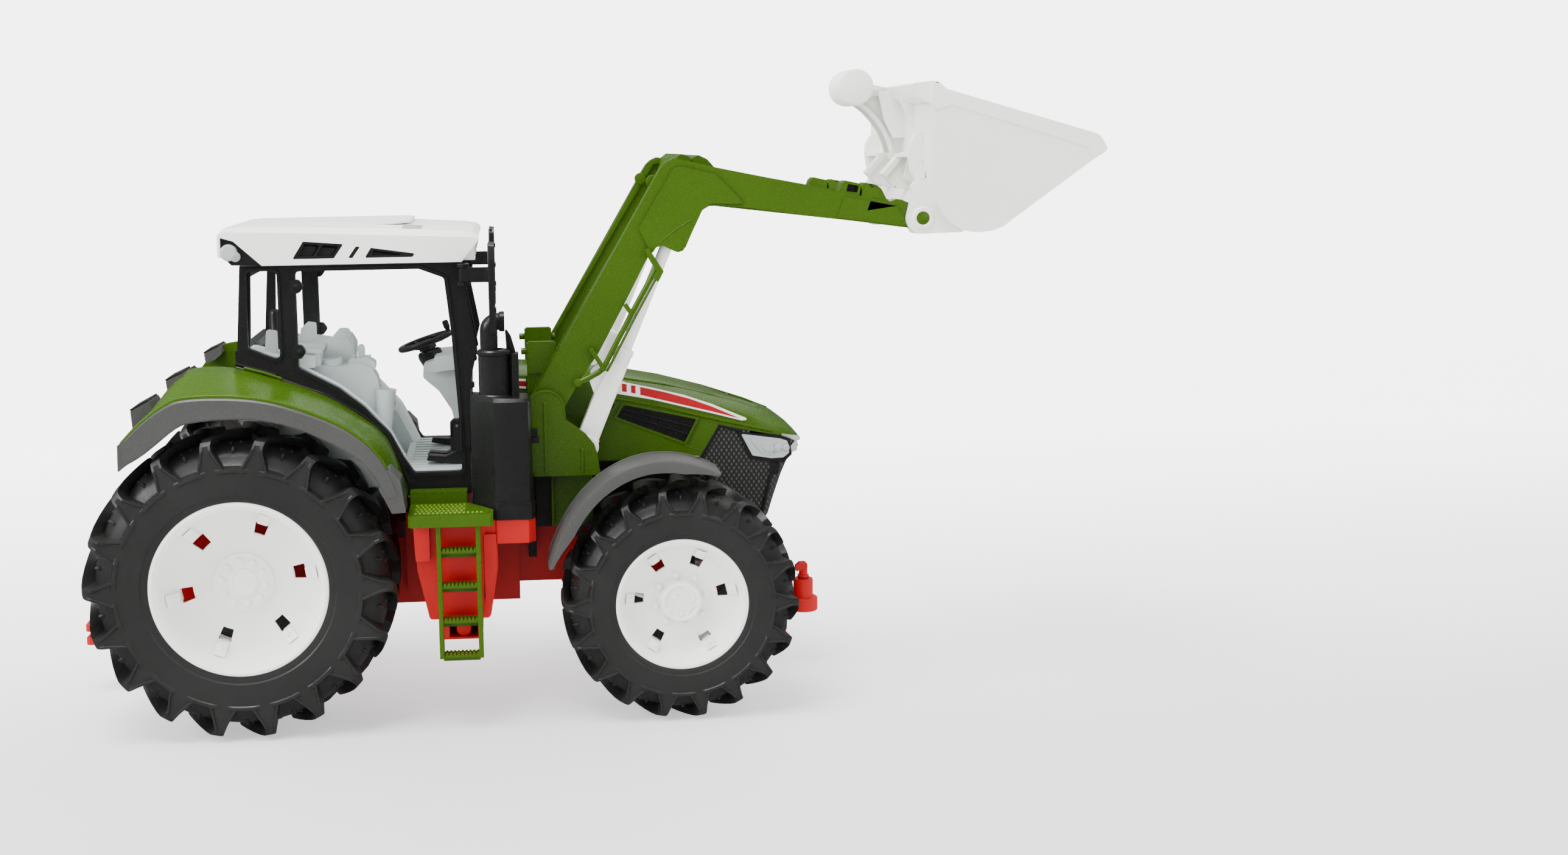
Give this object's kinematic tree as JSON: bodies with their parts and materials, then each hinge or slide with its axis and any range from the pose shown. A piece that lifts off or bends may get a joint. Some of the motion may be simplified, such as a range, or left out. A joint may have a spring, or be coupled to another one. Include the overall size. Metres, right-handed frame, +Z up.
{
  "type": "toy farm tractor",
  "caption": "Toy farm tractor with open cab, steering front axle, opening bonnet and a front loader whose arms lift and whose bucket tilts.",
  "frame": {"origin": "bottom centre of the whole toy's box, on the floor under the middle of its length", "axes": "+X forwards, +Y to the vehicle's left, +Z up"},
  "size_m": [0.433, 0.16, 0.2654],
  "materials": {
    "red_plastic": "moulded, half gloss",
    "dark_red_plastic": "moulded, half gloss",
    "green_plastic": "glossy moulded plastic",
    "black_plastic": "fine moulded grain",
    "charcoal_plastic": "matt, fine grain",
    "white_plastic": "satin moulded plastic",
    "grey_plastic": "satin moulded plastic",
    "lamp_plastic": "clear glossy plastic",
    "tyre_rubber": "soft satin rubber",
    "steel": "bright pin steel",
    "mesh_black": "fine woven mesh relief"
  },
  "bodies": {
    "chassis": {"chassis": "dark_red_plastic", "engine_block": "charcoal_plastic", "rear_stub_axles": "steel", "chassis_screws": "steel", "cab_frame": "black_plastic", "roof": "white_plastic", "roof_corner_trims": "black_plastic", "roof_lamps": "lamp_plastic", "cab_floor": "grey_plastic", "driver_seat": "grey_plastic", "armrest_console": "grey_plastic", "dash_console": "grey_plastic", "pedals": "black_plastic", "fender_right": "green_plastic", "fender_left": "green_plastic", "fender_trim_right": "charcoal_plastic", "fender_trim_left": "charcoal_plastic", "step_right": "green_plastic", "step_left": "green_plastic", "tank_right": "red_plastic", "tank_left": "red_plastic", "exhaust_housing": "black_plastic", "exhaust_pipe": "black_plastic", "loader_bracket_right": "green_plastic", "loader_bracket_left": "green_plastic", "arm_pivot_pins": "steel", "axle_pivot_pin": "steel", "hitches": "red_plastic"},
    "steering_wheel": {"steering_wheel": "black_plastic"},
    "mirror_right": {"mirror_right": "black_plastic"},
    "mirror_left": {"mirror_left": "black_plastic"},
    "bonnet": {"bonnet": "green_plastic", "grille": "mesh_black", "headlamps": "lamp_plastic", "bonnet_vents": "mesh_black"},
    "loader": {"arm_right": "green_plastic", "arm_left": "green_plastic", "arm_crosspieces": "green_plastic", "arm_guards": "green_plastic", "coupler_latches": "green_plastic"},
    "lift_tube_right": {"lift_tube_right": "white_plastic"},
    "lift_tube_left": {"lift_tube_left": "white_plastic"},
    "lift_rod_right": {"lift_rod_right": "white_plastic"},
    "lift_rod_left": {"lift_rod_left": "white_plastic"},
    "bucket": {"bucket": "white_plastic", "bucket_back_frame": "white_plastic", "bucket_handle": "white_plastic"},
    "front_axle": {"front_axle": "dark_red_plastic"},
    "knuckle_right": {"knuckle_right": "charcoal_plastic"},
    "knuckle_left": {"knuckle_left": "charcoal_plastic"},
    "tie_rod": {"tie_rod": "dark_red_plastic"},
    "wheel_rear_right": {"rim_rear_right": "white_plastic", "tyre_rear_right": "tyre_rubber"},
    "wheel_rear_left": {"rim_rear_left": "white_plastic", "tyre_rear_left": "tyre_rubber"},
    "wheel_front_right": {"rim_front_right": "white_plastic", "tyre_front_right": "tyre_rubber"},
    "wheel_front_left": {"rim_front_left": "white_plastic", "tyre_front_left": "tyre_rubber"},
    "hitch_pin": {"hitch_pin": "red_plastic"}
  },
  "joints": [
    {"name": "wheel_rear_right_spin", "type": "hinge", "parent": "chassis", "child": "wheel_rear_right", "pos_m": [-0.1385, -0.056, 0.0625], "axis": [0, 1, 0], "continuous": true},
    {"name": "wheel_rear_left_spin", "type": "hinge", "parent": "chassis", "child": "wheel_rear_left", "pos_m": [-0.1385, 0.056, 0.0625], "axis": [0, 1, 0], "continuous": true},
    {"name": "axle_rock", "type": "hinge", "parent": "chassis", "child": "front_axle", "pos_m": [0.0391, 0, 0.049], "axis": [1, 0, 0], "range_deg": [-3, 3]},
    {"name": "steer_right", "type": "hinge", "parent": "front_axle", "child": "knuckle_right", "pos_m": [0.0391, -0.033, 0.049], "axis": [0, 0, 1], "range_deg": [-9, 9]},
    {"name": "steer_left", "type": "hinge", "parent": "front_axle", "child": "knuckle_left", "pos_m": [0.0391, 0.033, 0.049], "axis": [0, 0, 1], "range_deg": [-9, 9]},
    {"name": "tie_rod_slide", "type": "slide", "parent": "front_axle", "child": "tie_rod", "axis": [0, 1, 0], "range_m": [-0.0026, 0.0026]},
    {"name": "wheel_front_right_spin", "type": "hinge", "parent": "knuckle_right", "child": "wheel_front_right", "pos_m": [0.0391, -0.056, 0.049], "axis": [0, 1, 0], "continuous": true},
    {"name": "wheel_front_left_spin", "type": "hinge", "parent": "knuckle_left", "child": "wheel_front_left", "pos_m": [0.0391, 0.056, 0.049], "axis": [0, 1, 0], "continuous": true},
    {"name": "steering_wheel_turn", "type": "hinge", "parent": "chassis", "child": "steering_wheel", "pos_m": [-0.0635, 0, 0.1476], "axis": [-0.309, 0, 0.9511], "continuous": true},
    {"name": "mirror_right_fold", "type": "hinge", "parent": "chassis", "child": "mirror_right", "pos_m": [-0.0465, -0.0522, 0.184], "axis": [0, 0, -1], "range_deg": [0, 60]},
    {"name": "mirror_left_fold", "type": "hinge", "parent": "chassis", "child": "mirror_left", "pos_m": [-0.0465, 0.0522, 0.184], "axis": [0, 0, 1], "range_deg": [0, 60]},
    {"name": "bonnet_open", "type": "hinge", "parent": "chassis", "child": "bonnet", "pos_m": [-0.0205, 0, 0.1355], "axis": [0, -1, 0], "range_deg": [0, 38]},
    {"name": "loader_lift", "type": "hinge", "parent": "chassis", "child": "loader", "pos_m": [-0.0143, 0, 0.127], "axis": [0, -1, 0], "range_deg": [-58, 4]},
    {"name": "lift_tube_right_turn", "type": "hinge", "parent": "chassis", "child": "lift_tube_right", "pos_m": [0.003, -0.037, 0.11], "axis": [0, -1, 0], "range_deg": [-60, 6]},
    {"name": "lift_tube_left_turn", "type": "hinge", "parent": "chassis", "child": "lift_tube_left", "pos_m": [0.003, 0.037, 0.11], "axis": [0, -1, 0], "range_deg": [-60, 6]},
    {"name": "lift_rod_right_slide", "type": "slide", "parent": "lift_tube_right", "child": "lift_rod_right", "axis": [0.3842, 0, 0.9232], "range_m": [-0.0245, 0.0025]},
    {"name": "lift_rod_left_slide", "type": "slide", "parent": "lift_tube_left", "child": "lift_rod_left", "axis": [0.3842, 0, 0.9232], "range_m": [-0.0245, 0.0025]},
    {"name": "bucket_tilt", "type": "hinge", "parent": "loader", "child": "bucket", "pos_m": [0.1435, 0, 0.203], "axis": [0, -1, 0], "range_deg": [-75, 25]},
    {"name": "hitch_pin_lift", "type": "slide", "parent": "chassis", "child": "hitch_pin", "axis": [0, 0, 1], "range_m": [0, 0.02]}
  ],
  "couplings": [
    {"joint": "steer_left", "follows": "steer_right", "ratio": 1},
    {"joint": "tie_rod_slide", "follows": "steer_right", "m_per_rad": 0.012},
    {"joint": "lift_tube_right_turn", "follows": "loader_lift", "ratio": 1.016},
    {"joint": "lift_tube_left_turn", "follows": "loader_lift", "ratio": 1.016},
    {"joint": "lift_rod_right_slide", "follows": "loader_lift", "m_per_rad": 0.0232},
    {"joint": "lift_rod_left_slide", "follows": "loader_lift", "m_per_rad": 0.0232}
  ]
}
